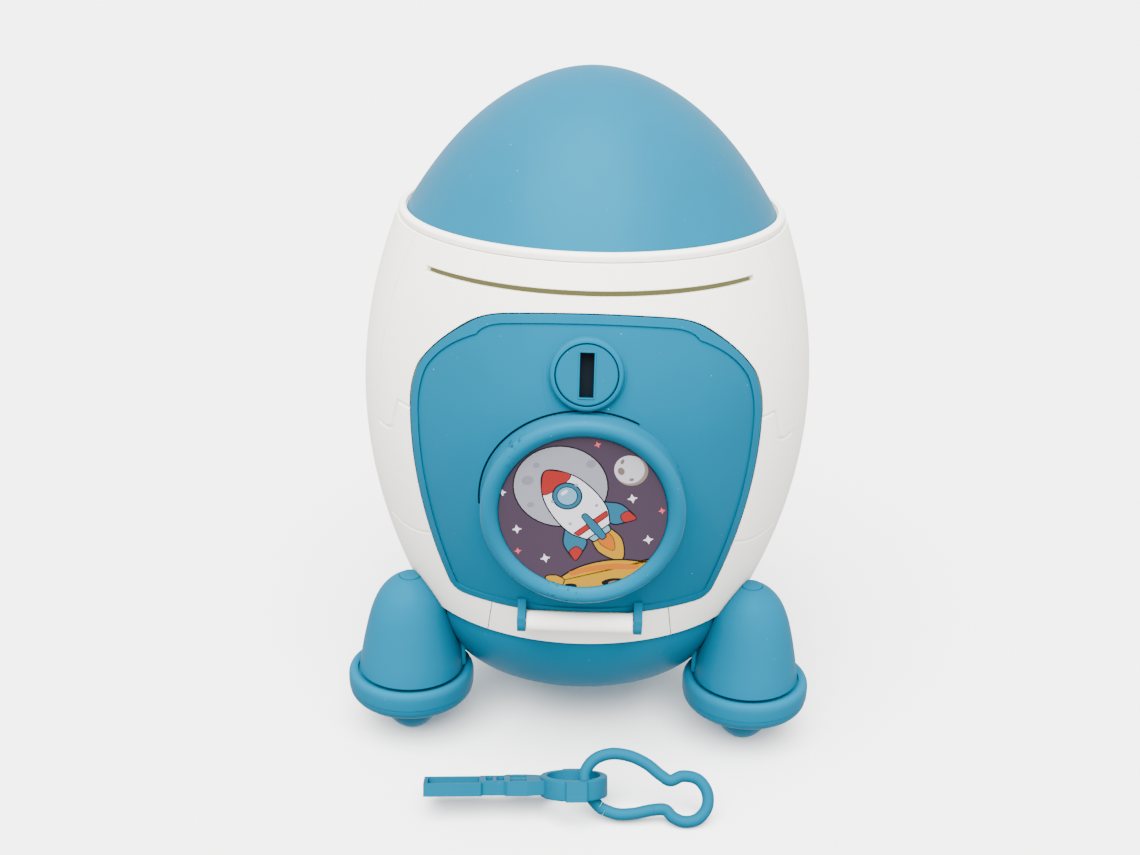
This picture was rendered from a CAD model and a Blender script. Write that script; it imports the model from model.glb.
"""Looks of the rocket money bank with its key and carabiner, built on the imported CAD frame.

Pieces are drawn in millimetres about the bank's own axis, and settle() sets them into the frame
in metres.
"""

import math

import bmesh
import bpy
import numpy as np
from mathutils import Matrix, Vector


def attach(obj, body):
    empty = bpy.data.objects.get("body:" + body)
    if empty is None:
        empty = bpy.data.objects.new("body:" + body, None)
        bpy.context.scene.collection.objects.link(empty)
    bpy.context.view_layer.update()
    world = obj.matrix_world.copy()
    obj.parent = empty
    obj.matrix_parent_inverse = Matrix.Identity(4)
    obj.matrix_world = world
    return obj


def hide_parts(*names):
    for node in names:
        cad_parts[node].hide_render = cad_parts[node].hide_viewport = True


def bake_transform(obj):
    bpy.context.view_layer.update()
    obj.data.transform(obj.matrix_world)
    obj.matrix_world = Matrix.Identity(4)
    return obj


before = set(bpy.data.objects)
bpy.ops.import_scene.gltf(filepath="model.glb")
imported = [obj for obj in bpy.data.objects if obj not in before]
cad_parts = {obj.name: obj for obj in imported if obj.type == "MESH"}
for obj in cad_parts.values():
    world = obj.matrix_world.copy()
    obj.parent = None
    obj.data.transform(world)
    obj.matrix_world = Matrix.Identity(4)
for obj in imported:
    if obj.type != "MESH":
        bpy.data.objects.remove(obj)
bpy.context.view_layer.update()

# ---------------------------------------------------------------- dimensions, mm
AXIS_Y = 5.0  # the bank's axis in the frame
WALL = 3.0
GAP = 0.35
BELLY_R, BELLY_Z, BULGE = 122.0, 190.0, 0.00201
BODY_BOTTOM, BODY_TOP = 78.5, 286.3
PARTING_Y = -54.8
SIDE_STEP_Z = 185.5
NOSE_R, NOSE_SEAT_Z, NOSE_TOP_Z = 98.2, 289.0, 362.6
SLOT_Z, SLOT_HEIGHT, SLOT_HALF = 272.8, 3.0, 48.3
DOOR_BOTTOM, DOOR_TOP, DOOR_GAP = 101.5, 263.6, 0.7
DOOR_PROUD, FIELD_INSET, FIELD_DEPTH = 0.5, 4.0, 0.7
HINGE_Y, HINGE_Z, BARREL_R, BARREL_HALF, LUG = -108.0, 97.5, 5.1, 27.2, 4.4
LOCK_Z, BOSS_R, ROTOR_R = 236.2, 18.0, 15.0
PORT_Z, PORT_R, PORT_RIM, PORT_PROUD, PORT_TILT, PICTURE_DEPTH = 166.6, 50.4, 9.0, 6.5, 3.0, 3.0
BASE_TOP_R, BASE_BOTTOM_R, BASE_BOTTOM_Z = 94.5, 74.7, 39.0
POD_RADIUS, POD_SEAT_Z, POD_TOP_Z = 108.0, 38.0, 94.4
POD_ANGLES = {"left": -60, "right": 60, "rear": 180}
CAP_R, FLANGE_BOTTOM = 5.8, 19.4
PLATE_R, PLATE_THICK, PLATE_HALF = 82.6, 2.4, 15.0
POD_SCREW_Z = 62.0
KEY_AT = (-0.5, -133.4, 15.6)
KEY_TILT, KEY_YAW = 24.0, 4.0
KEY_LENGTH, BLADE_LENGTH = 95, 30
SNAP_GAP = 0.1  # each side's share of the carabiner's snap joint
CLIP_AT = (36.5, -135.2, 16.7)
CLIP_LEAN, WIRE_R = 54.0, 3.1


def body_radius(z):
    return BELLY_R - BULGE * (z - BELLY_Z) ** 2


LOCK_TILT = math.degrees(math.atan(2 * BULGE * (LOCK_Z - BELLY_Z)))
LOCK_Y = -(body_radius(LOCK_Z) + DOOR_PROUD - FIELD_DEPTH)


# ---------------------------------------------------------------- mesh helpers
def make(name, verts, faces):
    """A mesh object from points in mm and faces, its normals turned outward."""
    mesh = bpy.data.meshes.new(name)
    mesh.from_pydata([tuple(map(float, v)) for v in verts], [], faces)
    work = bmesh.new()
    work.from_mesh(mesh)
    bmesh.ops.recalc_face_normals(work, faces=work.faces)
    work.to_mesh(mesh)
    work.free()
    obj = bpy.data.objects.new(name, mesh)
    bpy.context.scene.collection.objects.link(obj)
    return obj


def soften(points, radius, steps=4, closed=True):
    """The polyline with each corner rounded by up to radius."""
    out = []
    count = len(points)
    for i, p in enumerate(points):
        p = np.array(p, float)
        if not closed and i in (0, count - 1):
            out.append(tuple(p))
            continue
        a = np.array(points[i - 1], float)
        b = np.array(points[(i + 1) % count], float)
        la, lb = np.linalg.norm(a - p), np.linalg.norm(b - p)
        reach = min(radius, la * 0.45, lb * 0.45)
        if reach < 1e-4:
            out.append(tuple(p))
            continue
        start, end = p + (a - p) / la * reach, p + (b - p) / lb * reach
        for k in range(steps + 1):
            t = k / steps
            out.append(tuple((1 - t) ** 2 * start + 2 * t * (1 - t) * p + t**2 * end))
    return out


def spline(points, count, closed=False):
    """Centripetal Catmull-Rom curve through points, sampled count times."""
    pts = [np.array(p, float) for p in points]
    if closed:
        ctrl = [pts[-1], *pts, pts[0], pts[1]]
        spans = len(pts)
    else:
        ctrl = [2 * pts[0] - pts[1], *pts, 2 * pts[-1] - pts[-2]]
        spans = len(pts) - 1
    out = []
    for i in range(count):
        u = i / count * spans if closed else i / (count - 1) * spans
        k = min(int(u), spans - 1)
        u -= k
        p0, p1, p2, p3 = ctrl[k : k + 4]
        t = [0.0]
        for a, b in ((p0, p1), (p1, p2), (p2, p3)):
            t.append(t[-1] + max(np.linalg.norm(b - a), 1e-6) ** 0.5)
        x = t[1] + u * (t[2] - t[1])
        a1 = (t[1] - x) / (t[1] - t[0]) * p0 + (x - t[0]) / (t[1] - t[0]) * p1
        a2 = (t[2] - x) / (t[2] - t[1]) * p1 + (x - t[1]) / (t[2] - t[1]) * p2
        a3 = (t[3] - x) / (t[3] - t[2]) * p2 + (x - t[2]) / (t[3] - t[2]) * p3
        b1 = (t[2] - x) / (t[2] - t[0]) * a1 + (x - t[0]) / (t[2] - t[0]) * a2
        b2 = (t[3] - x) / (t[3] - t[1]) * a2 + (x - t[1]) / (t[3] - t[1]) * a3
        out.append((t[2] - x) / (t[2] - t[1]) * b1 + (x - t[1]) / (t[2] - t[1]) * b2)
    return out


def lathe(name, profile, segments=128, ring=False):
    """Solid of revolution about +Z from (radius, z) points; a ring's profile is a closed loop."""
    verts, rows = [], []
    for r, z in profile:
        if r < 1e-6 and not ring:
            rows.append([len(verts)] * segments)
            verts.append((0, 0, z))
            continue
        rows.append(list(range(len(verts), len(verts) + segments)))
        for s in range(segments):
            a = 2 * math.pi * s / segments
            verts.append((r * math.cos(a), r * math.sin(a), z))
    if ring:
        rows.append(rows[0])
    faces = []
    for low, high in zip(rows, rows[1:]):
        for s in range(segments):
            e = (s + 1) % segments
            face = []
            for v in (low[s], low[e], high[e], high[s]):
                if v not in face:
                    face.append(v)
            if len(face) > 2:
                faces.append(face)
    return make(name, verts, faces)


def extrude(name, outline, near, far, place):
    """A closed outline extruded from near to far; place turns (u, v, depth) into a point."""
    count = len(outline)
    verts = [place(u, v, near) for u, v in outline] + [place(u, v, far) for u, v in outline]
    faces = [list(range(count))[::-1], list(range(count, 2 * count))]
    for i in range(count):
        j = (i + 1) % count
        faces.append([i, j, count + j, count + i])
    return make(name, verts, faces)


def front_prism(name, outline):
    """An outline seen from the front, deep enough to pass through the whole front wall."""
    return extrude(name, outline, -140.0, -70.0, lambda u, v, d: (u, d, v))


def top_prism(name, outline, z0, z1):
    return extrude(name, outline, z0, z1, lambda u, v, d: (u, v, d))


def side_prism(name, outline, x0, x1):
    return extrude(name, outline, x0, x1, lambda u, v, d: (d, u, v))


def block(name, x0, x1, y0, y1, z0, z1):
    return top_prism(name, [(x0, y0), (x1, y0), (x1, y1), (x0, y1)], z0, z1)


def rod(name, radius, z0, z1, segments=48):
    return lathe(name, [(0, z0), (radius, z0), (radius, z1), (0, z1)], segments)


def sweep(name, path, radius, sides, closed=False):
    """A round tube along 3-D points."""
    path = [Vector(p) for p in path]
    count = len(path)
    tangents = []
    for i in range(count):
        a = path[i - 1] if closed or i else path[0]
        b = path[(i + 1) % count] if closed or i < count - 1 else path[-1]
        tangents.append((b - a).normalized())
    side = tangents[0].orthogonal().normalized()
    rings = []
    for p, t in zip(path, tangents):
        side = (side - t * side.dot(t)).normalized()
        rings.append((p, t, side))
    verts = []
    for p, t, s in rings:
        other = t.cross(s)
        for k in range(sides):
            a = 2 * math.pi * k / sides
            verts.append(p + (s * math.cos(a) + other * math.sin(a)) * radius)
    faces = []
    spans = len(rings) if closed else len(rings) - 1
    for i in range(spans):
        j = (i + 1) % len(rings)
        for k in range(sides):
            e = (k + 1) % sides
            faces.append([i * sides + k, i * sides + e, j * sides + e, j * sides + k])
    if not closed:
        faces.append(list(range(sides))[::-1])
        faces.append([(len(rings) - 1) * sides + k for k in range(sides)])
    return make(name, verts, faces)


def combine(target, operation, *tools):
    """Applies the boolean with each tool in turn and removes the tools."""
    for tool in tools:
        modifier = target.modifiers.new("cut", "BOOLEAN")
        modifier.operation = operation
        modifier.solver = "MANIFOLD"
        modifier.object = tool
        graph = bpy.context.evaluated_depsgraph_get()
        mesh = bpy.data.meshes.new_from_object(target.evaluated_get(graph))
        target.modifiers.clear()
        old = target.data
        target.data = mesh
        bpy.data.meshes.remove(old)
        spare = tool.data
        bpy.data.objects.remove(tool)
        bpy.data.meshes.remove(spare)
    return target


def cut(target, *tools):
    return combine(target, "DIFFERENCE", *tools)


def join(target, *tools):
    return combine(target, "UNION", *tools)


def keep(target, *tools):
    return combine(target, "INTERSECT", *tools)


def turned(obj, axis, degrees):
    obj.data.transform(Matrix.Rotation(math.radians(degrees), 4, axis))
    return obj


def moved(obj, x, y, z):
    obj.data.transform(Matrix.Translation((x, y, z)))
    return obj


def on_lock(obj):
    return moved(turned(obj, "X", 90 - LOCK_TILT), 0, LOCK_Y, LOCK_Z)


def on_port(obj):
    return moved(turned(obj, "X", 90 + PORT_TILT), 0, -(BELLY_R + PORT_PROUD), PORT_Z)


def at_angle(obj, degrees):
    return turned(obj, "Z", degrees)


def on_clip(obj):
    return moved(turned(obj, "X", CLIP_LEAN), *CLIP_AT)


def barrel(name, offset, z0, z1, rows=56, segments=224):
    points = [(0, z0)]
    for i in range(rows + 1):
        z = z0 + (z1 - z0) * i / rows
        points.append((body_radius(z) + offset, z))
    points.append((0, z1))
    return lathe(name, points, segments)


def shade(obj, barrel_faces=False, angle=32.0):
    """Smooth shading with sharp edges; faces of the barrel body take its exact normal."""
    mesh = obj.data
    mesh.shade_smooth()
    mesh.set_sharp_from_angle(angle=math.radians(angle))
    if not barrel_faces:
        return
    normals = np.zeros(len(mesh.loops) * 3)
    mesh.corner_normals.foreach_get("vector", normals)
    normals = normals.reshape(-1, 3)
    points = np.zeros(len(mesh.vertices) * 3)
    mesh.vertices.foreach_get("co", points)
    points = points.reshape(-1, 3)
    vertex = np.zeros(len(mesh.loops), int)
    mesh.loops.foreach_get("vertex_index", vertex)
    flat = np.zeros(len(mesh.polygons) * 3)
    mesh.polygons.foreach_get("normal", flat)
    sizes = np.zeros(len(mesh.polygons), int)
    mesh.polygons.foreach_get("loop_total", sizes)
    flat = np.repeat(flat.reshape(-1, 3), sizes, axis=0)
    at = points[vertex]
    radius = np.hypot(at[:, 0], at[:, 1])
    exact = np.stack([at[:, 0] / radius, at[:, 1] / radius, 2 * BULGE * (at[:, 2] - BELLY_Z)], 1)
    exact /= np.linalg.norm(exact, axis=1)[:, None]
    off = radius - (BELLY_R - BULGE * (at[:, 2] - BELLY_Z) ** 2)
    facing = np.sum(flat * exact, 1)
    outside = (facing > 0.97) & (np.abs(off) < 0.8)
    inside = (facing < -0.97) & (np.abs(off + WALL) < 0.8)
    normals[outside] = exact[outside]
    normals[inside] = -exact[inside]
    mesh.normals_split_custom_set(normals.tolist())


def paint_where(obj, material, test):
    """Gives the faces that pass the test a second finish; call it after settle()."""
    obj.data.materials.append(material)
    for face in obj.data.polygons:
        if test(face.center * 1000 - Vector((0, AXIS_Y, 0)), face.normal):
            face.material_index = len(obj.data.materials) - 1


def faces_in(at, normal):
    return at.xy.length < body_radius(at.z) - WALL + 0.6 and normal.xy.dot(at.xy) < 0


def settle(obj, body, material, *nodes, slot, barrel_faces=False, angle=32.0):
    """Puts a finished piece into the frame: shading, finish, body, and the CAD nodes it stands for.

    A piece that bends between two bodies is given None as its body, and is blended afterwards.
    """
    shade(obj, barrel_faces, angle)
    obj.data.transform(Matrix.Scale(0.001, 4) @ Matrix.Translation((0, AXIS_Y, 0)))
    obj.data.materials.clear()
    obj.data.materials.append(material)
    if body:
        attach(obj, body)
    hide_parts(*nodes)
    return obj


# ---------------------------------------------------------------- finishes
def node(tree, kind, **inputs):
    made = tree.nodes.new(kind)
    for name, value in inputs.items():
        made.inputs[name.replace("_", " ")].default_value = value
    return made


def moulded(
    name,
    colour,
    roughness=0.36,
    mottle=0.05,
    grain=0.05,
    dust=0.0,
    metallic=0.0,
    round_mm=0.45,
    scuffs=(),
    specular=0.3,
    sheen_tint=(1, 1, 1),
    glow=None,
):
    """Injection-moulded plastic: slow colour drift, fine grain, dust, softened edges, scuffs."""
    material = bpy.data.materials.new(name)
    material.use_nodes = True
    tree = material.node_tree
    tree.nodes.clear()
    link = tree.links.new
    output = node(tree, "ShaderNodeOutputMaterial")
    shader = node(tree, "ShaderNodeBsdfPrincipled", Metallic=metallic)
    shader.inputs["Specular IOR Level"].default_value = specular
    shader.inputs["Specular Tint"].default_value = (*sheen_tint, 1)
    if glow:
        shader.inputs["Emission Color"].default_value = (*glow, 1)
        shader.inputs["Emission Strength"].default_value = 1.0
    link(shader.outputs["BSDF"], output.inputs["Surface"])
    where = node(tree, "ShaderNodeTexCoord")

    drift = node(tree, "ShaderNodeTexNoise", Scale=14.0, Detail=3.0)
    link(where.outputs["Object"], drift.inputs["Vector"])
    shades = node(tree, "ShaderNodeValToRGB")
    shades.color_ramp.elements[0].position = 0.3
    shades.color_ramp.elements[1].position = 0.7
    shades.color_ramp.elements[0].color = (*[c * (1 - mottle) for c in colour], 1)
    shades.color_ramp.elements[1].color = (*[min(1, c * (1 + mottle)) for c in colour], 1)
    link(drift.outputs["Fac"], shades.inputs["Fac"])
    tint = shades.outputs["Color"]

    if dust:
        specks = node(tree, "ShaderNodeTexNoise", Scale=800.0, Detail=1.0)
        link(where.outputs["Object"], specks.inputs["Vector"])
        sparse = node(tree, "ShaderNodeMapRange")
        sparse.inputs["From Min"].default_value = 0.80
        sparse.inputs["From Max"].default_value = 0.83
        sparse.inputs["To Max"].default_value = dust
        link(specks.outputs["Fac"], sparse.inputs["Value"])
        dusty = node(tree, "ShaderNodeMixRGB")
        link(sparse.outputs["Result"], dusty.inputs["Fac"])
        link(tint, dusty.inputs["Color1"])
        dusty.inputs["Color2"].default_value = (0.55, 0.6, 0.6, 1)
        tint = dusty.outputs["Color"]

    for at, reach, shade_colour in scuffs:
        ball = node(tree, "ShaderNodeVectorMath")
        ball.operation = "DISTANCE"
        ball.inputs[1].default_value = at
        link(where.outputs["Object"], ball.inputs[0])
        near = node(tree, "ShaderNodeMapRange")
        near.inputs["From Min"].default_value = reach
        near.inputs["From Max"].default_value = reach * 0.4
        link(ball.outputs["Value"], near.inputs["Value"])
        marks = node(tree, "ShaderNodeTexNoise", Scale=300.0, Detail=5.0, Roughness=0.7)
        link(where.outputs["Object"], marks.inputs["Vector"])
        rare = node(tree, "ShaderNodeMapRange")
        rare.inputs["From Min"].default_value = 0.56
        rare.inputs["From Max"].default_value = 0.68
        link(marks.outputs["Fac"], rare.inputs["Value"])
        both = node(tree, "ShaderNodeMath")
        both.operation = "MULTIPLY"
        link(near.outputs["Result"], both.inputs[0])
        link(rare.outputs["Result"], both.inputs[1])
        worn = node(tree, "ShaderNodeMixRGB")
        link(both.outputs["Value"], worn.inputs["Fac"])
        link(tint, worn.inputs["Color1"])
        worn.inputs["Color2"].default_value = (*shade_colour, 1)
        tint = worn.outputs["Color"]
    link(tint, shader.inputs["Base Color"])

    sheen = node(tree, "ShaderNodeTexNoise", Scale=60.0, Detail=4.0)
    link(where.outputs["Object"], sheen.inputs["Vector"])
    spread = node(tree, "ShaderNodeMapRange")
    spread.inputs["To Min"].default_value = roughness - 0.07
    spread.inputs["To Max"].default_value = roughness + 0.07
    link(sheen.outputs["Fac"], spread.inputs["Value"])
    link(spread.outputs["Result"], shader.inputs["Roughness"])

    fine = node(tree, "ShaderNodeTexNoise", Scale=1400.0, Detail=2.0)
    link(where.outputs["Object"], fine.inputs["Vector"])
    bump = node(tree, "ShaderNodeBump", Strength=grain, Distance=0.0004)
    link(fine.outputs["Fac"], bump.inputs["Height"])
    if round_mm:
        edges = node(tree, "ShaderNodeBevel", Radius=round_mm / 1000)
        edges.samples = 4
        link(edges.outputs["Normal"], bump.inputs["Normal"])
    link(bump.outputs["Normal"], shader.inputs["Normal"])
    return material


# The blues are darker than the plastic is, to suit this scene's bright lights and view transform.
BLUE_RGB = (0.0001, 0.085, 0.149)
KEY_RGB = (0.0001, 0.066, 0.114)
WHITE_RGB = (0.84, 0.82, 0.74)
BLUE_SHEEN = (0.08, 0.75, 1.0)
SCUFFS = [
    ((-0.033, -0.1225, 0.204), 0.014, (0.001, 0.012, 0.02)),
    ((-0.012, -0.1235, 0.121), 0.014, (0.001, 0.012, 0.02)),
]


def blue(name, roughness=0.45, dust=0.4, specular=0.05, colour=BLUE_RGB, **more):
    return moulded(
        name, colour, roughness, dust=dust, specular=specular, sheen_tint=BLUE_SHEEN, **more
    )


door_blue = blue("door_blue", dust=0.5)
ring_blue = blue("ring_blue", 0.40, 0.3, 0.1, scuffs=SCUFFS)
nose_blue = blue("nose_blue", 0.40, 0.3, 0.12, mottle=0.04)
base_blue = blue("base_blue", dust=0.15)
key_blue = blue("key_blue", 0.45, 0.3, 0.06, round_mm=0.5, colour=KEY_RGB)
shell_white = moulded(
    "shell_white", WHITE_RGB, roughness=0.45, mottle=0.03, grain=0.04, specular=0.15, round_mm=0.6
)
# The glow keeps the chamber's inside olive rather than black where the slot shows it.
inner_white = moulded(
    "inner_white",
    (0.5, 0.48, 0.3),
    roughness=0.6,
    mottle=0.05,
    grain=0.02,
    round_mm=0,
    glow=(0.22, 0.21, 0.1),
)
keyway_dark = moulded(
    "keyway_dark", (0.0003, 0.004, 0.008), roughness=0.6, round_mm=0, specular=0.1
)
inner_olive = moulded("inner_olive", (0.42, 0.4, 0.26), roughness=0.6, mottle=0.12, round_mm=0)
steel = moulded("steel", (0.5, 0.51, 0.53), roughness=0.33, mottle=0.1, metallic=1.0, round_mm=0)


# ---------------------------------------------------------------- body shells
def quadratic(a, b, c, steps):
    out = []
    for k in range(1, steps + 1):
        t = k / steps
        out.append(
            (
                (1 - t) ** 2 * a[0] + 2 * t * (1 - t) * b[0] + t**2 * c[0],
                (1 - t) ** 2 * a[1] + 2 * t * (1 - t) * b[1] + t**2 * c[1],
            )
        )
    return out


def door_outline(grow):
    """Front view of the door: flat bottom, leaning sides, sloping shoulders, gently bowed top."""
    g = grow
    low = DOOR_BOTTOM - g
    corner = 64 + g
    right = [(corner - 4, low)]
    legs = [
        ((corner + 3, low), (corner + 5, DOOR_BOTTOM + 6), 8),
        ((87 + g, 158), (88 + g, 200), 24),
        ((89 + g, 216), (83.5 + g, 228), 8),
        ((75 + g, 242), (58 + g, 253.6 + g), 10),
        ((50, 259.6 + g), (38, 261 + g), 8),
    ]
    for middle, end, steps in legs:
        right += quadratic(right[-1], middle, end, steps)
    top = quadratic((38, 261 + g), (0, DOOR_TOP + 2.6 + g), (-38, 261 + g), 24)[:-1]
    return right + top + [(-x, z) for x, z in reversed(right)]


def front_region(name, shift):
    p = PARTING_Y + shift
    outline = [
        (-200, 0),
        (p + 6, 0),
        (p + 8, 130),
        (p + 16, SIDE_STEP_Z - 2.5),
        (p, SIDE_STEP_Z),
        (p, 400),
        (-200, 400),
    ]
    return side_prism(name, outline, -200, 200)


def apron_outline(grow):
    top = DOOR_BOTTOM - DOOR_GAP + 0.1
    return [
        (-48.8 - grow, BODY_BOTTOM - 2),
        (48.8 + grow, BODY_BOTTOM - 2),
        (45.7 + grow, top),
        (-45.7 - grow, top),
    ]


def body_wall(name):
    wall = barrel(name, 0, BODY_BOTTOM, BODY_TOP)
    return cut(wall, barrel("inside", -WALL, BODY_BOTTOM - 1, BODY_TOP + 1))


def on_body(x, z, offset=0.0):
    r = body_radius(z) + offset
    return (x, -math.sqrt(r * r - x * x), z)


def groove(points, radius=1.1, offset=0.1):
    """A thin tube lying in the body's surface along front-view points."""
    fine = []
    for (x0, z0), (x1, z1) in zip(points, points[1:]):
        steps = max(2, int(math.hypot(x1 - x0, z1 - z0) / 1.5))
        for k in range(steps):
            t = k / steps
            fine.append((x0 + (x1 - x0) * t, z0 + (z1 - z0) * t))
    fine.append(points[-1])
    return sweep("groove", [on_body(x, z, offset) for x, z in fine], radius, 8)


def slot_cutter():
    z0, z1 = SLOT_Z - SLOT_HEIGHT / 2, SLOT_Z + SLOT_HEIGHT / 2
    outer, inner = [], []
    steps = 72
    for k in range(steps + 1):
        a = math.radians(-90 - SLOT_HALF + 2 * SLOT_HALF * k / steps)
        outer.append((120 * math.cos(a), 120 * math.sin(a)))
        inner.append((96 * math.cos(a), 96 * math.sin(a)))
    return top_prism("slot", outer + inner[::-1], z0, z1)


def build_shells():
    front = keep(body_wall("front_shell_look"), front_region("region", 0))
    front = cut(
        front,
        slot_cutter(),
        front_prism("opening", door_outline(DOOR_GAP)),
        front_prism("apron", apron_outline(GAP)),
    )
    for side in (-1, 1):
        upper = [(86, 203), (96, 203.6), (99.6, 187.5), (103, 185.3), (108.4, 185.2)]
        lower = [(79, 134.6), (84, 132), (90, 130.2), (97, 129.4), (103.8, 129.6)]
        front = cut(front, groove([(side * x, z) for x, z in upper]))
        front = cut(front, groove([(side * x, z) for x, z in lower]))
    strike = block("strike", -12, 12, -106.6, -102.4, 265.2, 270)
    strike = keep(strike, barrel("in", -1, 200, BODY_TOP))
    front = join(front, strike)
    settle(front, "bank", shell_white, "front_shell", slot="white_shell", barrel_faces=True)
    paint_where(front, inner_white, faces_in)
    rear = cut(body_wall("rear_shell_look"), front_region("region", GAP))
    settle(rear, "bank", shell_white, "rear_shell", slot="white_shell", barrel_faces=True)
    paint_where(rear, inner_white, faces_in)


def along_hinge(obj):
    return moved(turned(obj, "Y", 90), 0, HINGE_Y, HINGE_Z)


def build_apron():
    wall = keep(body_wall("hinge_apron_look"), front_prism("apron", apron_outline(0)))
    wall = keep(wall, block("below", -60, 60, -140, -60, 0, DOOR_BOTTOM - DOOR_GAP - 0.1))
    profile = soften(
        [(0, -BARREL_HALF), (BARREL_R, -BARREL_HALF), (BARREL_R, BARREL_HALF), (0, BARREL_HALF)],
        0.5,
        closed=False,
    )
    web = cut(
        block("web", -BARREL_HALF, BARREL_HALF, HINGE_Y, -99, HINGE_Z - 4, HINGE_Z + 3),
        barrel("inside", -WALL + 0.5, 60, 150),
    )
    wall = join(wall, along_hinge(lathe("tube", profile, 64)), web)
    wall = cut(wall, along_hinge(rod("hole", 1.62, -60, 60, 32)))
    settle(wall, "bank", shell_white, "hinge_apron", slot="white_shell", barrel_faces=True)


# ---------------------------------------------------------------- nose
def nose_radius(t):
    return NOSE_R * max(1 - t, 0) ** (0.445 + 0.06 * t * t)


def build_nose():
    rim_r = 102.4
    rim = soften(
        [
            (93.5, 277),
            (96.5, 277),
            (97.5, BODY_TOP + GAP),
            (rim_r, BODY_TOP + GAP),
            (rim_r, 289.6),
            (rim_r - 1.6, 291),
            (NOSE_R + GAP, 291),
            (NOSE_R + GAP, NOSE_SEAT_Z - GAP),
            (93.5, NOSE_SEAT_Z - GAP),
        ],
        0.8,
    )
    rim = lathe("nose_rim_look", rim, 256, ring=True)
    settle(rim, "bank", shell_white, "nose_rim", slot="white_shell")

    height = NOSE_TOP_Z - NOSE_SEAT_Z
    rows = 64
    outer = [(NOSE_R - 0.3, NOSE_SEAT_Z)]
    for i in range(rows + 1):
        t = 1 - (1 - i / rows) ** 2
        z = NOSE_SEAT_Z + 0.3 + (height - 0.3) * t
        outer.append((nose_radius((z - NOSE_SEAT_Z) / height), z))
    outer[-1] = (0, NOSE_TOP_Z)
    inner = [
        (max(r - WALL, 0), z - WALL * (z - NOSE_SEAT_Z) / height)
        for r, z in outer[:0:-1]
        if r > WALL or z == NOSE_TOP_Z
    ]
    inner.append((NOSE_R - WALL, NOSE_SEAT_Z))
    dome = lathe("nose_dome_look", [*outer, *inner, outer[0]], 256)
    settle(dome, "bank", nose_blue, "nose_dome", slot="nose_blue", angle=50)


# ---------------------------------------------------------------- door, lock and porthole
def hinge_lug(x0, x1):
    disc = along_hinge(
        lathe("lug", soften([(0, x0), (5.6, x0), (5.6, x1), (0, x1)], 0.4, closed=False), 64)
    )
    arm = [
        (HINGE_Y - 5.5, HINGE_Z),
        (HINGE_Y + 4, HINGE_Z),
        (-101.5, DOOR_BOTTOM + 1),
        (-101.5, DOOR_BOTTOM + 6),
        (-105.5, DOOR_BOTTOM + 7),
        (HINGE_Y - 5.5, HINGE_Z + 4),
    ]
    return join(disc, side_prism("arm", arm, x0, x1))


RING_GAP_R, RING_GAP_FROM, RING_GAP_TO = PORT_R + 1.4, 184, 60  # the angles are in degrees


def ring_groove():
    """The fine gap round the porthole's upper left, ending in a small step."""
    points = []
    for k in range(61):
        a = math.radians(RING_GAP_FROM + (RING_GAP_TO - RING_GAP_FROM) * k / 60)
        points.append((RING_GAP_R * math.cos(a), PORT_Z + RING_GAP_R * math.sin(a)))
    a = math.radians(RING_GAP_TO)
    points.append(((RING_GAP_R - 2.0) * math.cos(a), PORT_Z + (RING_GAP_R - 2.0) * math.sin(a)))
    path = [on_body(x, z, DOOR_PROUD - FIELD_DEPTH - 0.15) for x, z in points]
    return sweep("ring_gap", path, 0.5, 8)


def in_ring_gap(at, normal):
    """True for the door's faces inside ring_groove()."""
    deep = at.xy.length - body_radius(at.z) - (DOOR_PROUD - FIELD_DEPTH)
    turn = math.degrees(math.atan2(at.z - PORT_Z, at.x)) % 360
    on_arc = abs(math.hypot(at.x, at.z - PORT_Z) - RING_GAP_R) < 0.8
    in_turn = RING_GAP_TO - 2 < turn < RING_GAP_FROM + 2
    return at.y < 0 and -0.9 < deep < -0.05 and on_arc and in_turn


def keyway():
    return block("keyway", -3.4, 3.4, -10.75, 10.75, -4, 8)


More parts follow.
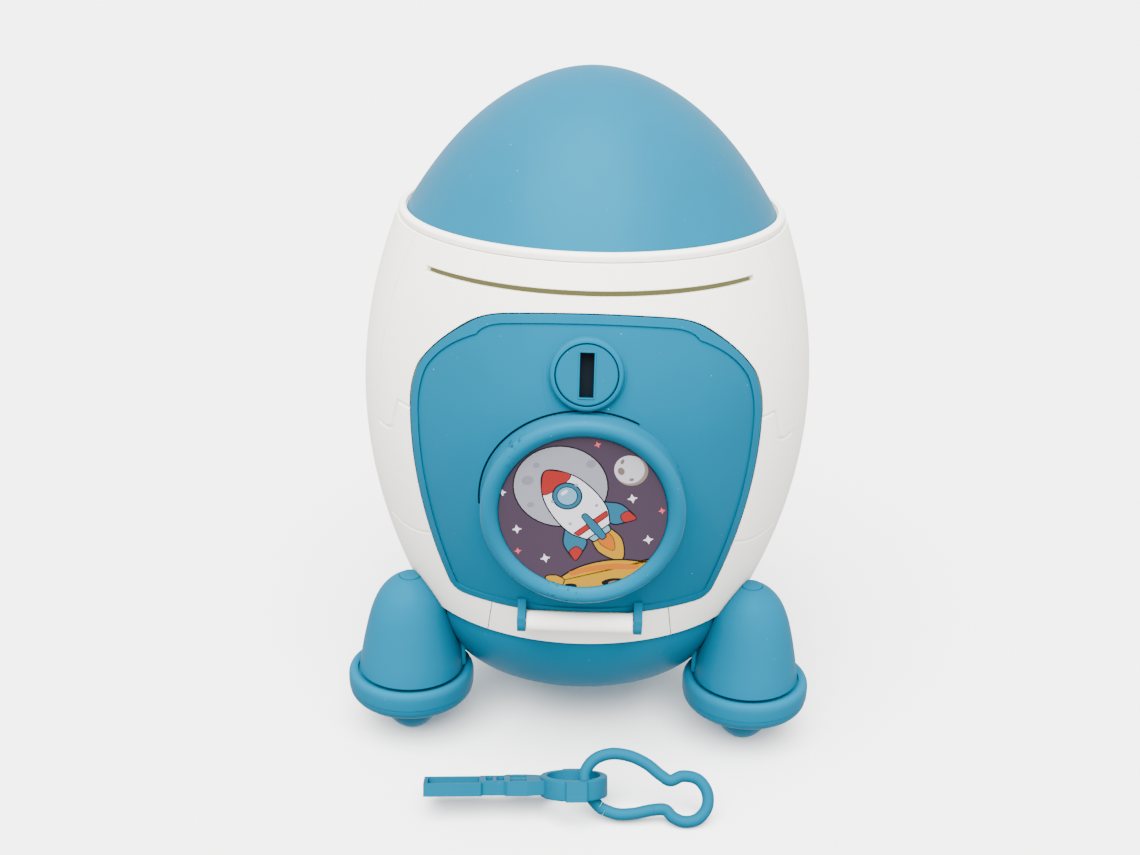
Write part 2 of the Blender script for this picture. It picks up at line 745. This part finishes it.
def build_door():
    z0, z1 = DOOR_BOTTOM - 5, DOOR_TOP + 5
    door = cut(barrel("door_panel_look", DOOR_PROUD, z0, z1), barrel("in", -WALL, z0 - 1, z1 + 1))
    door = keep(door, front_prism("outline", door_outline(0)))
    field = cut(
        front_prism("field", door_outline(-FIELD_INSET)),
        barrel("keep", DOOR_PROUD - FIELD_DEPTH, z0 - 20, z1 + 20),
    )
    door = cut(door, field, ring_groove())
    witness = [(-21.2, 238), (-21, 232), (-20.4, 226), (-19.2, 221), (-17.2, 217.4), (-14.5, 215.2)]
    door = cut(door, groove(witness, radius=0.3, offset=-0.02))
    boss = soften(
        [(0, -4), (BOSS_R, -4), (BOSS_R, 1.4), (BOSS_R - 0.8, 3), (BOSS_R - 2, 3.4), (0, 3.4)],
        1.0,
        closed=False,
    )
    tube = rod("tube", BOSS_R + 1, -6.2, -1, 96)
    door = join(door, on_lock(lathe("boss", boss, 128)), on_lock(tube))
    lug0 = BARREL_HALF + 0.4
    door = cut(
        door,
        on_lock(rod("bore", ROTOR_R + 0.4, -20, 10, 128)),
        along_hinge(rod("clear", BARREL_R + 0.7, -lug0, lug0, 64)),
    )
    door = join(door, hinge_lug(lug0, lug0 + LUG), hinge_lug(-lug0 - LUG, -lug0))
    door = cut(door, along_hinge(rod("pin", 1.7, -60, 60, 32)))
    settle(door, "door", door_blue, "door_panel", slot="blue_shell", barrel_faces=True)
    paint_where(door, keyway_dark, in_ring_gap)

    face = [
        (0, -9.2),
        (8, -9.2),
        (8, -6.3),
        (ROTOR_R, -6.3),
        (ROTOR_R, 2.3),
        (ROTOR_R - 0.6, 2.9),
        (0, 2.9),
    ]
    rotor = lathe("lock_rotor_look", soften(face, 0.5, closed=False), 128)
    rotor = join(rotor, rod("stem", 4, -14.5, -9, 48))
    rotor = cut(rotor, keyway())
    lip = soften([(-4.2, -11.6), (4.2, -11.6), (4.2, 11.6), (-4.2, 11.6)], 1.0)
    rotor = join(rotor, cut(top_prism("lip", lip, 2.0, 3.15), keyway()))
    settle(on_lock(rotor), "lock", door_blue, "lock_rotor", slot="blue_shell")
    tilt = math.radians(LOCK_TILT)
    outward = Vector((0, -math.cos(tilt), math.sin(tilt)))
    mouth = Vector((0, LOCK_Y, LOCK_Z)) + outward * 0.5

    def in_keyway(at, normal):
        height = (at - mouth).dot(outward)
        across = (at - mouth) - outward * height
        return -5 < height < 0 and abs(across.x) < 3.6 and across.length < 10.9

    paint_where(rotor, keyway_dark, in_keyway)


def build_porthole():
    inner = PORT_R - PORT_RIM
    floor = -PICTURE_DEPTH - 1.6
    crest = spline(
        [
            (PORT_R, -5.2),
            (PORT_R - 0.35, -2.6),
            (PORT_R - 1.7, -0.8),
            (PORT_R - 4.2, 0),
            (PORT_R - 6.8, -0.75),
            (PORT_R - 8.5, -2.2),
            (inner, -PICTURE_DEPTH - 0.6),
        ],
        28,
    )
    profile = [
        (PORT_R, -40),
        *[tuple(p) for p in crest],
        (inner, floor),
        (inner - 6, floor),
        (inner - 6, floor - 2),
        (PORT_R - 3, floor - 2),
        (PORT_R - 3, -40),
    ]
    ring = on_port(lathe("porthole_ring_look", profile, 192, ring=True))
    ring = cut(ring, barrel("keep", DOOR_PROUD - FIELD_DEPTH + 0.05, 60, 280))
    settle(ring, "door", ring_blue, "porthole_ring", slot="blue_shell", angle=40)


# ---------------------------------------------------------------- porthole picture
INK = {
    "sky": (0.033, 0.0205, 0.034),
    "outline": (0.003, 0.0026, 0.0035),
    "glass": (0.165, 0.17, 0.20),
    "shadow": (0.12, 0.12, 0.15),
    "white": (0.42, 0.41, 0.45),
    "suit": (0.010, 0.073, 0.125),
    "red": (0.19, 0.010, 0.010),
    "pink": (0.38, 0.055, 0.070),
    "moon": (0.30, 0.29, 0.32),
    "crater": (0.10, 0.072, 0.066),
    "rim": (0.13, 0.097, 0.085),
    "yellow": (0.27, 0.14, 0.004),
    "orange": (0.29, 0.075, 0.003),
    "pale": (0.10, 0.20, 0.28),
}


def ellipse(cx, cy, rx, ry, turn=0.0, count=40, start=0.0, end=360.0):
    out = []
    c, s = math.cos(math.radians(turn)), math.sin(math.radians(turn))
    steps = count if end - start >= 360 else count + 1
    for k in range(steps):
        a = math.radians(start + (end - start) * k / count)
        x, y = rx * math.cos(a), ry * math.sin(a)
        out.append((cx + c * x - s * y, cy + s * x + c * y))
    return out


def star(cx, cy, size, turn):
    out = []
    for k in range(8):
        a = math.radians(turn + 45 * k)
        r = size * (1 if k % 2 == 0 else 0.36)
        out.append((cx + r * math.cos(a), cy + r * math.sin(a)))
    return soften(out, size * 0.25, 2)


def grown(points, by):
    """The outline pushed outward by a line's width."""
    centre = np.mean(points, axis=0)
    count = len(points)
    area = sum(
        points[i][0] * points[(i + 1) % count][1] - points[(i + 1) % count][0] * points[i][1]
        for i in range(count)
    )
    turn = 1 if area > 0 else -1
    out = []
    for i, p in enumerate(points):
        a, b = np.array(points[i - 1]), np.array(points[(i + 1) % count])
        d = b - a
        length = np.linalg.norm(d) or 1.0
        out.append((p[0] + turn * d[1] / length * by, p[1] - turn * d[0] / length * by))
    return out if len(out) > 2 else [tuple(centre)]


def picture_shapes():
    """Layers of the printed scene, in units of the picture's radius: (ink, outline)."""
    line = 0.016
    shapes = []

    def inked(ink, outline, width=line):
        shapes.append(("outline", grown(outline, width)))
        shapes.append((ink, outline))

    for x, y, size, turn in [
        (-0.955, 0.25, 0.055, 8),
        (0.58, 0.22, 0.068, 12),
        (-0.78, -0.235, 0.066, 8),
        (0.79, -0.325, 0.070, 10),
        (-0.436, -0.62, 0.070, 14),
    ]:
        shapes.append(("white", star(x, y, size, turn)))
    for x, y, turn in [(0.15, 0.91, 20), (0.935, 0.07, 14), (-0.765, -0.53, 10)]:
        shapes.append(("pink", star(x, y, 0.050, turn)))

    shapes.append(("rim", ellipse(0.555, 0.585, 0.195, 0.195)))
    shapes.append(("moon", ellipse(0.53, 0.60, 0.178, 0.182)))
    for x, y, rx, ry, turn in [
        (0.435, 0.575, 0.040, 0.050, 20),
        (0.445, 0.70, 0.020, 0.034, -20),
        (0.56, 0.47, 0.028, 0.020, 10),
    ]:
        shapes.append(("crater", ellipse(x, y, rx, ry, turn, 20)))

    # A stubby rocket in front of a grey moon, flying towards the upper left.
    inked("glass", ellipse(-0.27, 0.35, 0.55, 0.52))
    for x, y, r in [
        (-0.66, 0.42, 0.06),
        (-0.56, 0.62, 0.035),
        (0.08, 0.66, 0.05),
        (-0.62, 0.10, 0.035),
    ]:
        shapes.append(("shadow", ellipse(x, y, r * 1.2, r, 20, 24)))

    def rocket(points):
        """Points along and across the rocket, its tail at the origin of its own axis."""
        c, k = math.cos(math.radians(130)), math.sin(math.radians(130))
        return [(0.20 + c * x - k * y, -0.24 + k * x + c * y) for x, y in points]

    flame = [(-0.02, 0.13), (-0.22, 0.16), (-0.46, 0.02), (-0.24, -0.15), (-0.02, -0.13)]
    heart = [(-0.02, 0.07), (-0.16, 0.08), (-0.30, 0.01), (-0.16, -0.08), (-0.02, -0.07)]
    inked("yellow", rocket(spline(flame, 30)))
    inked("orange", rocket(spline(heart, 24)), 0.008)
    fin = [(0.36, 0.20), (0.14, 0.44), (-0.14, 0.47), (-0.02, 0.18)]
    fin_end = [(0.02, 0.45), (-0.14, 0.47), (-0.08, 0.31), (0.02, 0.33)]
    for side in (1, -1):
        inked("suit", rocket(soften([(x, side * y) for x, y in fin], 0.08)))
    for side in (1, -1):
        inked("red", rocket(soften([(x, side * y) for x, y in fin_end], 0.04, 3)), 0.010)
    nozzle = [(0.05, 0.15), (-0.06, 0.13), (-0.06, -0.13), (0.05, -0.15)]
    inked("pale", rocket(soften(nozzle, 0.03)))
    flank = [(0.02, 0.17), (0.20, 0.27), (0.50, 0.29), (0.80, 0.21)]
    hull = flank + [(1.02, 0.0)] + [(x, -y) for x, y in reversed(flank)]
    inked("white", rocket(spline(hull, 60)))
    tip = [(0.80, 0.205), (0.93, 0.12), (1.02, 0.0), (0.93, -0.12), (0.80, -0.205), (0.76, 0.0)]
    inked("red", rocket(spline(tip, 40, closed=True)), 0.010)
    band = [(0.17, 0.245), (0.11, 0.215), (0.11, -0.215), (0.17, -0.245)]
    inked("red", rocket(soften(band, 0.01, 2)), 0.010)
    inked("suit", ellipse(-0.19, 0.23, 0.165, 0.165))
    inked("pale", ellipse(-0.19, 0.23, 0.115, 0.115), 0.010)
    shapes.append(("white", ellipse(-0.225, 0.275, 0.05, 0.022, 40, 20)))
    edge = [(0.30, 0.03), (0.08, 0.05), (-0.10, 0.035)]
    middle_fin = edge + [(x, -y) for x, y in reversed(edge)]
    inked("suit", rocket(soften(middle_fin, 0.03)), 0.012)
    for x, y in [(0.30, 0.20), (0.30, -0.20), (0.66, 0.18), (0.66, -0.18)]:
        shapes.append(("glass", ellipse(*rocket([(x, y)])[0], 0.020, 0.020, 0, 16)))

    # The planet along the bottom edge, with an orange band and two dark craters.
    planet = ellipse(0.42, -1.22, 0.86, 0.60, 8, 80)
    inked("yellow", planet, 0.02)
    stripe = [
        (-0.16, -0.80),
        (0.08, -0.71),
        (0.42, -0.655),
        (0.72, -0.67),
        (0.66, -0.73),
        (0.30, -0.745),
        (0.02, -0.80),
        (-0.12, -0.86),
    ]
    shapes.append(("orange", soften(stripe, 0.05, 3)))
    bump = [(-0.42, -0.86), (-0.30, -0.85), (-0.20, -0.90), (-0.24, -1.05), (-0.46, -1.05)]
    inked("yellow", soften(bump, 0.03, 2), 0.014)
    shapes.append(("outline", ellipse(0.40, -0.92, 0.15, 0.055, 6, 30)))
    shapes.append(("crater", ellipse(0.43, -0.925, 0.10, 0.032, 6, 30)))
    shapes.append(("outline", ellipse(-0.12, -0.985, 0.075, 0.03, 0, 24)))
    return shapes


def build_picture():
    inner = PORT_R - PORT_RIM
    radius = inner - 0.3
    low = -PICTURE_DEPTH - 1.3
    high = -PICTURE_DEPTH - 0.5
    card = lathe("picture_look", [(0, low), (radius, low), (radius, high), (0, high)], 128)
    mesh = card.data
    inks = list(INK)
    work = bmesh.new()
    work.from_mesh(mesh)
    for level, (ink, outline) in enumerate(picture_shapes()):
        z = high + 0.02 + 0.004 * level
        kept = []
        for u, v in outline:
            length = math.hypot(u, v)
            scale = min(1.0, 0.999 / length) if length else 1.0
            kept.append((u * scale * radius, v * scale * radius))
        corners = []
        for x, y in kept:
            if not corners or (Vector((x, y)) - corners[-1].co.xy).length > 0.02:
                corners.append(work.verts.new((x, y, z)))
        face = work.faces.new(corners)
        face.material_index = inks.index(ink)
        face.normal_update()
        if face.normal.z < 0:
            face.normal_flip()
    work.to_mesh(mesh)
    work.free()
    on_port(card)
    shade(card)
    card.data.transform(Matrix.Scale(0.001, 4) @ Matrix.Translation((0, AXIS_Y, 0)))
    for ink in inks:
        print_finish = moulded(
            f"print_{ink}",
            INK[ink],
            roughness=0.5,
            mottle=0.06,
            grain=0.03,
            specular=0.1,
            round_mm=0,
        )
        mesh.materials.append(print_finish)
    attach(card, "door")
    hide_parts("picture_disc")


# ---------------------------------------------------------------- base and booster pods
def bowl_profile(inset):
    points = []
    rows = 24
    top = BODY_BOTTOM - GAP
    for i in range(rows + 1):
        t = i / rows
        r = BASE_BOTTOM_R + (BASE_TOP_R - BASE_BOTTOM_R) * math.sin(t * math.pi / 2) ** 0.9
        points.append((r - inset, BASE_BOTTOM_Z + (top - BASE_BOTTOM_Z) * t))
    return points


def pod_block(r0, r1, half, z0, z1, degrees):
    return at_angle(block("pod_block", -half, half, -r1, -r0, z0, z1), degrees)


def screw_bore(radius, r0, r1, degrees):
    bore = moved(turned(rod("bore", radius, r0, r1, 32), "X", 90), 0, 0, POD_SCREW_Z)
    return at_angle(bore, degrees)


def build_base():
    skin = [(0, BASE_BOTTOM_Z), *bowl_profile(0), (0, BODY_BOTTOM - GAP)]
    outer = lathe("base_bowl_look", skin, 224)
    rows = bowl_profile(WALL)
    low = BASE_BOTTOM_Z - 2
    hollow = [(0, low), (rows[0][0], low), *rows[1:], (rows[-1][0], 100), (0, 100)]
    inner = lathe("inside", hollow, 224)
    seat = PLATE_R - PLATE_THICK / 2 - GAP
    for angle in POD_ANGLES.values():
        outer = cut(outer, pod_block(seat, 140, PLATE_HALF + GAP, 0, 79, angle))
        inner = cut(inner, pod_block(seat - WALL, 140, PLATE_HALF + GAP + WALL, -10, 110, angle))
    bowl = cut(outer, inner)
    for angle in POD_ANGLES.values():
        bowl = cut(bowl, screw_bore(2.3, 70, 90, angle))
    ledge_r = BASE_BOTTOM_R + 2.4
    ledge = [(64, 43), (ledge_r, 43), (ledge_r, 45.5), (64, 45.5)]
    bowl = join(bowl, lathe("ledge", ledge, 224, ring=True))
    for i in range(3):
        bowl = cut(bowl, at_angle(moved(rod("hole", 1.5, 30, 60, 24), 0, -68.6, 0), i * 120))
    settle(bowl, "bank", base_blue, "base_bowl", slot="base_blue")


# Profiles of a pod's pieces, as (radius, z) about the pod's own axis.
CONE = [
    (28.9, 38.35),
    (27.3, 48),
    (25.4, 58),
    (23.1, 68),
    (20.7, 76),
    (16.9, 84),
    (13.2, 88.6),
    (9.4, 91.8),
    (6.2, 93.5),
]
FLANGE_LOW = [(24, 19.4), (27.8, 19.8), (31.6, 21.9), (33.9, 24.8), (34.55, 27.8)]
FLANGE_HIGH = [(34.75, 28.2), (34.9, 32.5), (34.7, 35.4), (33.8, 37.2), (32.2, 38), (30.6, 37.7)]
FOOT = [(0, 0), (3.4, 0.05), (5.8, 0.5), (8.6, 1.9), (11, 4.2), (13.2, 7.2), (15, 11), (17.4, 19)]


def build_pod(name, degrees):
    def place(obj):
        return at_angle(moved(obj, 0, -POD_RADIUS, 0), degrees)

    rows = [tuple(p) for p in spline(CONE, 56)]
    skin = [(0, rows[0][1]), *rows, (0, rows[-1][1])]
    outer = place(lathe(f"booster_cone_{name}_look", skin, 160))
    inside = [(r - 2.4, z - 1.2) for r, z in rows if r > 12]
    hollow = place(
        lathe("hollow", [(0, 36), (inside[0][0], 36), *inside, (0, inside[-1][1])], 160)
    )
    plane = PLATE_R + PLATE_THICK / 2 + GAP
    hollow = cut(
        hollow,
        pod_block(0, plane + 2.4, 60, 0, 200, degrees),
        barrel("clear", 2.9, BODY_BOTTOM - 3, 150, 24, 160),
    )
    cone = cut(
        outer,
        hollow,
        pod_block(-5, plane, 60, 0, 200, degrees),
        barrel("body", 0.5, BODY_BOTTOM - 0.6, 150, 24, 160),
        lathe("bowl", [(0, 30), *bowl_profile(-0.6), (0, BODY_BOTTOM)], 160),
        screw_bore(1.7, 80, 92, degrees),
        place(rod("cap_seat", CAP_R + 0.2, POD_TOP_Z - 2.2, 110, 64)),
    )
    settle(cone, "bank", base_blue, f"booster_cone_{name}", slot="blue_shell")

    top = [
        (0, 92.5),
        (CAP_R, 92.5),
        (CAP_R, POD_TOP_Z - 0.3),
        (CAP_R - 0.8, POD_TOP_Z + 0.05),
        (0, POD_TOP_Z + 0.3),
    ]
    cap = place(lathe(f"booster_cap_{name}_look", soften(top, 0.5, closed=False), 64))
    cap = cut(cap, barrel("body", 0.5, BODY_BOTTOM, 150, 24, 160))
    settle(cap, "bank", base_blue, f"booster_cap_{name}", slot="blue_shell")

    low = [tuple(p) for p in spline(FLANGE_LOW, 16)]
    high = [tuple(p) for p in spline(FLANGE_HIGH, 24)]
    profile = [
        (22.9, FLANGE_BOTTOM),
        *low,
        (34.3, 28.0),
        *high,
        (29.7, 37.2),
        (29.5, 35.8),
        (22.9, 35.8),
    ]
    flange = lathe(f"booster_flange_{name}_look", profile, 160, ring=True)
    flange = join(flange, rod("web", 23.9, FLANGE_BOTTOM, FLANGE_BOTTOM + 6, 96))
    z0, z1 = BASE_BOTTOM_Z - 1.6, BASE_BOTTOM_Z + 10
    clear = block("clear", -60, 60, -(BASE_BOTTOM_R + 0.6), 0, z0, z1)
    flange = cut(place(flange), at_angle(clear, degrees))
    settle(flange, "bank", base_blue, f"booster_flange_{name}", slot="blue_shell")

    tip = [(max(r, 0.0), max(z, 0.0)) for r, z in spline(FOOT, 40)]
    foot = lathe(f"booster_foot_{name}_look", [*tip, (0, tip[-1][1])], 96)
    settle(place(foot), "bank", base_blue, f"booster_foot_{name}", slot="blue_shell", angle=40)

    half = PLATE_THICK / 2
    near, far = half - PLATE_R, -(PLATE_R + half)
    corners = [(-PLATE_HALF, far), (PLATE_HALF, far), (PLATE_HALF, near), (-PLATE_HALF, near)]
    z0, z1 = POD_SEAT_Z + 0.4, BODY_BOTTOM - 0.8
    plate = top_prism(f"booster_plate_{name}_look", soften(corners, 0.5), z0, z1)
    plate = cut(at_angle(plate, degrees), screw_bore(2.3, 70, 90, degrees))
    settle(plate, "bank", base_blue, f"booster_plate_{name}", slot="blue_shell")


# ---------------------------------------------------------------- key and carabiner
HOOK_LINE = [
    (-23, -10.7),
    (-29.6, -3),
    (-31.5, 6),
    (-27, 13.2),
    (-18.5, 16.6),
    (-8.5, 15.8),
    (0.5, 12),
    (8, 6.5),
    (12.8, 4),
    (19, 6.4),
    (27, 5),
    (31.8, -1),
    (32, -8.5),
    (27.5, -14.6),
    (20.5, -16.4),
    (14.6, -14.4),
    (10.5, -10.8),
]
ARM_LINE = [(4.1, -11), (-6, -13.2), (-14.5, -13.6), (-21.1, -11.6)]


def clip_loop(name):
    path = spline([(x, y, 0) for x, y in HOOK_LINE + ARM_LINE], 260, closed=True)
    return sweep(name, path, WIRE_R, 28, closed=True)


def snap_outline(gap):
    """The arm's side of the stepped snap joint, in the carabiner's own plane."""
    along, across = np.array((-0.906, 0.423)), np.array((0.423, 0.906))
    middle = np.array((-22.0, -11.2))

    def at(s, n):
        p = middle + along * s + across * n
        return (float(p[0]), float(p[1]))

    return [
        (4.1, -20),
        (4.1, -6),
        at(1.5 + gap, 6),
        at(1.5 + gap, gap),
        at(-1.5 + gap, gap),
        at(-1.5 + gap, -6),
    ]


def build_carabiner():
    arm_side = top_prism("arm_side", snap_outline(SNAP_GAP), -8, 8)
    hook = cut(clip_loop("carabiner_hook_look"), arm_side)
    settle(on_clip(hook), "carabiner", key_blue, "carabiner_hook", slot="blue_shell", angle=40)
    arm_side = top_prism("arm_side", snap_outline(-SNAP_GAP), -8, 8)
    arm = keep(clip_loop("carabiner_arm_look"), arm_side)
    arm = settle(on_clip(arm), None, key_blue, "carabiner_arm", slot="blue_shell", angle=40)
    # The clip is one springy moulding, so the arm bends at its waist.
    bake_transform(arm)


def build_key():
    half, w, loop_r = 3.3, 10.0, 17.5
    tip = loop_r - KEY_LENGTH
    blade_end = tip + BLADE_LENGTH
    tray = soften([(tip, -w), (blade_end, -w), (blade_end, w), (tip, w)], 1.2)
    key = top_prism("key_look", tray, -half, half)
    x0, x1, edge = tip + 2.2, blade_end - 1.5, w - 2.2
    well = soften([(x0, -edge), (x1, -edge), (x1, edge), (x0, edge)], 0.8)
    key = cut(key, top_prism("well", well, 0.6, half + 1))
    side = [(-1, 0.8), (11, 0.8), (13, 1.05), (23, 1.05), (33, 0.75)]
    neck = [(blade_end + x, -w * k) for x, k in side]
    neck += [(blade_end + x, w * k) for x, k in reversed(side)]
    key = join(key, top_prism("neck", soften(neck, 1.0), -half, half + 0.6))
    cells = [(2, 5.5, -6, 6), (7.5, 11.5, -6, 6), (14.5, 23, -7.5, -1), (14.5, 23, 1, 7.5)]
    for x0, x1, y0, y1 in cells:
        x0, x1 = blade_end + x0, blade_end + x1
        cell = soften([(x0, y0), (x1, y0), (x1, y1), (x0, y1)], 0.6)
        key = cut(key, top_prism("cell", cell, 0.4, 8))
    t = 5.2
    reach = loop_r + 1.2
    ring = soften([(0, -t), (loop_r, -t), (loop_r, t), (0, t)], 0.8, closed=False)
    sides = soften([(-5, -reach), (6, -reach), (6, reach), (-5, reach)], 0.8)
    key = join(key, lathe("loop", ring, 96), top_prism("sides", sides, -t, t))
    key = cut(key, rod("eye", loop_r - 3.6, -20, 20, 96))
    key = moved(turned(turned(key, "X", -KEY_TILT), "Z", KEY_YAW), *KEY_AT)
    settle(key, "key", key_blue, "key", slot="blue_shell")


build_shells()
build_apron()
build_nose()
build_door()
build_porthole()
build_picture()
build_base()
for pod_name, pod_angle in POD_ANGLES.items():
    build_pod(pod_name, pod_angle)
build_key()
build_carabiner()

# Inner pieces and fasteners keep their CAD shape and get a finish of their own.
CARRIED = {
    "base_cover": base_blue,
    "chamber_floor": inner_olive,
    "lock_backplate": inner_olive,
}
for name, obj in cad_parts.items():
    if obj.hide_render:
        continue
    obj.data.materials.clear()
    obj.data.materials.append(CARRIED.get(name, steel))

# ---------------------------------------------------------------- floor, light and camera
floor_corners = [(-6000, -3000, 0), (6000, -3000, 0), (6000, 9000, 0), (-6000, 9000, 0)]
floor = make("floor", floor_corners, [(0, 1, 2, 3)])
floor.data.transform(Matrix.Scale(0.001, 4))
floor.data.materials.append(
    moulded("paper", (0.86, 0.86, 0.85), roughness=0.9, mottle=0.006, grain=0.0, round_mm=0)
)
floor.visible_diffuse = False  # the table's own bounce is kept off the underside
floor.visible_glossy = False

world = bpy.data.worlds.new("studio")
world.use_nodes = True
world.node_tree.nodes["Background"].inputs["Color"].default_value = (1.0, 1.0, 1.0, 1)
world.node_tree.nodes["Background"].inputs["Strength"].default_value = 1.65
bpy.context.scene.world = world


def sun(name, strength, azimuth, elevation, spread):
    """A soft, far light; azimuth 0 shines from the front, 90 from the right."""
    data = bpy.data.lights.new(name, "SUN")
    data.energy = strength
    data.angle = math.radians(spread)
    obj = bpy.data.objects.new(name, data)
    a, e = math.radians(azimuth), math.radians(elevation)
    towards = Vector((math.sin(a) * math.cos(e), -math.cos(a) * math.cos(e), math.sin(e)))
    obj.rotation_euler = towards.to_track_quat("Z", "Y").to_euler()
    bpy.context.scene.collection.objects.link(obj)


sun("key_light", 17.0, -10, 62, 60)
sun("fill_light", 1.0, 25, 20, 80)

CAMERA_AT = (0, -0.802, 0.4848)  # metres
PAN, TILT, ROLL = -0.0107, -0.3808, 0.0257  # radians
forward = Vector((math.sin(PAN) * math.cos(TILT), math.cos(PAN) * math.cos(TILT), math.sin(TILT)))
right = Vector((math.cos(PAN), -math.sin(PAN), 0))
up = right.cross(forward)
right, up = (
    right * math.cos(ROLL) + up * math.sin(ROLL),
    up * math.cos(ROLL) - right * math.sin(ROLL),
)
camera = bpy.data.objects.new("camera", bpy.data.cameras.new("camera"))
camera.data.sensor_width = 36
camera.data.lens = 48.73
camera.data.clip_start = 0.05
camera.data.clip_end = 50
turn = Matrix((right, up, -forward)).transposed().to_4x4()
camera.matrix_world = Matrix.Translation(CAMERA_AT) @ turn
bpy.context.scene.collection.objects.link(camera)
bpy.context.scene.camera = camera
